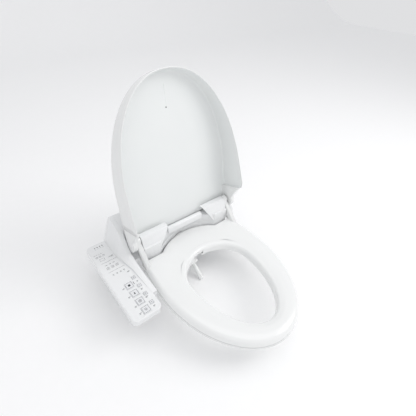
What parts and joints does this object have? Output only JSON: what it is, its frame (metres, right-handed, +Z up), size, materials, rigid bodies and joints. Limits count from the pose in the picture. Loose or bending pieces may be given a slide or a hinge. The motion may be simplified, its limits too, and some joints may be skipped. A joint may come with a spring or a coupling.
{
  "type": "electric bidet seat",
  "caption": "Warm-water washing toilet seat with a side control arm, a heated ring, a deep hinged lid and an extending spray nozzle",
  "frame": {"origin": "midpoint between the two mounting bolts, on the plane of the bowl rim that the base stands on", "axes": "+X right in a front view (control arm on -X), +Y to the cistern, +Z up"},
  "size_m": [0.4935, 0.5495, 0.6022],
  "materials": {
    "lid_white": "injection-moulded ABS, glossy white",
    "liner_white": "injection-moulded ABS, satin white",
    "seat_white": "antibacterial polypropylene, glossy white",
    "body_white": "injection-moulded ABS, glossy white",
    "overlay": "printed polycarbonate film, satin",
    "key_grey": "soft-touch light grey ABS",
    "lamp": "smoked acrylic light guide",
    "acetal": "natural acetal",
    "pad_rubber": "light grey elastomer",
    "hose_rubber": "braided hose, dark",
    "heater_film": "foil heater",
    "screw_steel": "zinc-plated",
    "pin_steel": "stainless",
    "motor_steel": "plated can",
    "inlet_brass": "turned brass",
    "circuit_board": "glass-epoxy laminate",
    "tank_plastic": "glass-filled polypropylene",
    "dark_plastic": "glass-filled nylon",
    "nozzle_grey": "polypropylene, light grey",
    "nozzle_white": "antibacterial polypropylene, white"
  },
  "bodies": {
    "main_unit": {"arm_base": "body_white", "arm_cover": "body_white", "arm_fairing": "body_white", "arm_screws": "screw_steel", "base_case": "body_white", "control_pcb": "circuit_board", "cord_gland": "dark_plastic", "cover_screws": "screw_steel", "fan_housing": "dark_plastic", "fan_motor": "motor_steel", "feed_hose": "hose_rubber", "flap_pin": "pin_steel", "hinge_pins": "pin_steel", "indicator_lamps": "lamp", "lid_damper": "dark_plastic", "main_pcb": "circuit_board", "mounting_bolts": "pin_steel", "mounting_plate": "nozzle_grey", "nozzle_housing": "nozzle_grey", "nozzle_motor": "motor_steel", "panel_sheet": "overlay", "rubber_cones": "pad_rubber", "seat_damper": "dark_plastic", "solenoid_valve": "dark_plastic", "splash_guard": "body_white", "tank_heater": "pin_steel", "top_cover": "body_white", "tower_left": "body_white", "tower_right": "body_white", "water_inlet": "inlet_brass", "water_tank": "tank_plastic", "wing_nuts": "dark_plastic"},
    "lid": {"lid_shell": "lid_white", "lid_liner": "liner_white", "lid_cheek_left": "lid_white", "lid_cheek_right": "lid_white", "lid_bushes": "acetal"},
    "seat": {"seat_top": "seat_white", "seat_base": "seat_white", "seat_heater": "heater_film", "seat_pads": "pad_rubber", "seat_screws": "screw_steel", "seat_bushes": "acetal"},
    "nozzle": {"nozzle_wand": "nozzle_white", "nozzle_tip": "nozzle_white"},
    "pinion": {"nozzle_pinion": "acetal"},
    "flap": {"nozzle_flap": "nozzle_white"},
    "impeller": {"fan_impeller": "dark_plastic"},
    "filter": {"deodoriser_filter": "nozzle_grey"},
    "release": {"release_button": "key_grey"},
    "key_button_1": {"button_1": "key_grey"},
    "key_button_2": {"button_2": "key_grey"},
    "key_button_3": {"button_3": "key_grey"},
    "key_button_4": {"button_4": "key_grey"},
    "key_small_button_1": {"small_button_1": "key_grey"},
    "key_small_button_2": {"small_button_2": "key_grey"},
    "key_small_button_3": {"small_button_3": "key_grey"},
    "key_small_button_4": {"small_button_4": "key_grey"}
  },
  "joints": [
    {"name": "lid_hinge", "type": "hinge", "parent": "main_unit", "child": "lid", "pos_m": [0, -0.048, 0.098], "axis": [-1, 0, 0], "range_deg": [-112, 0]},
    {"name": "seat_hinge", "type": "hinge", "parent": "main_unit", "child": "seat", "pos_m": [0, -0.048, 0.098], "axis": [-1, 0, 0], "range_deg": [0, 105]},
    {"name": "nozzle_slide", "type": "slide", "parent": "main_unit", "child": "nozzle", "axis": [0, -0.8387, -0.5446], "range_m": [-0.078, 0]},
    {"name": "pinion_spin", "type": "hinge", "parent": "main_unit", "child": "pinion", "pos_m": [0.00214, -0.02455, 0.02575], "axis": [0, -0.5446, 0.8387], "range_deg": [-669, 0]},
    {"name": "flap_hinge", "type": "hinge", "parent": "main_unit", "child": "flap", "pos_m": [-0.014, -0.10386, -0.01371], "axis": [-1, 0, 0], "range_deg": [0, 30]},
    {"name": "fan_spin", "type": "hinge", "parent": "main_unit", "child": "impeller", "pos_m": [-0.1, 0.016, 0.02], "axis": [0, 0, 1], "continuous": true},
    {"name": "filter_slide", "type": "slide", "parent": "main_unit", "child": "filter", "axis": [1, 0, 0], "range_m": [0, 0.03]},
    {"name": "release_press", "type": "slide", "parent": "main_unit", "child": "release", "axis": [1, 0, 0], "range_m": [-0.003, 0], "stiffness_N_per_m": 600, "springref_m": 0.002},
    {"name": "button_1_press", "type": "slide", "parent": "main_unit", "child": "key_button_1", "axis": [0, 0, 1], "range_m": [-0.0008, 0], "stiffness_N_per_m": 800, "springref_m": 0.0005},
    {"name": "button_2_press", "type": "slide", "parent": "main_unit", "child": "key_button_2", "axis": [0, 0, 1], "range_m": [-0.0008, 0], "stiffness_N_per_m": 800, "springref_m": 0.0005},
    {"name": "button_3_press", "type": "slide", "parent": "main_unit", "child": "key_button_3", "axis": [0, 0, 1], "range_m": [-0.0008, 0], "stiffness_N_per_m": 800, "springref_m": 0.0005},
    {"name": "button_4_press", "type": "slide", "parent": "main_unit", "child": "key_button_4", "axis": [0, 0, 1], "range_m": [-0.0008, 0], "stiffness_N_per_m": 800, "springref_m": 0.0005},
    {"name": "small_button_1_press", "type": "slide", "parent": "main_unit", "child": "key_small_button_1", "axis": [0, 0, 1], "range_m": [-0.0008, 0], "stiffness_N_per_m": 800, "springref_m": 0.0005},
    {"name": "small_button_2_press", "type": "slide", "parent": "main_unit", "child": "key_small_button_2", "axis": [0, 0, 1], "range_m": [-0.0008, 0], "stiffness_N_per_m": 800, "springref_m": 0.0005},
    {"name": "small_button_3_press", "type": "slide", "parent": "main_unit", "child": "key_small_button_3", "axis": [0, 0, 1], "range_m": [-0.0008, 0], "stiffness_N_per_m": 800, "springref_m": 0.0005},
    {"name": "small_button_4_press", "type": "slide", "parent": "main_unit", "child": "key_small_button_4", "axis": [0, 0, 1], "range_m": [-0.0008, 0], "stiffness_N_per_m": 800, "springref_m": 0.0005}
  ],
  "couplings": [
    {"joint": "pinion_spin", "follows": "nozzle_slide", "rad_per_m": 149.6}
  ]
}
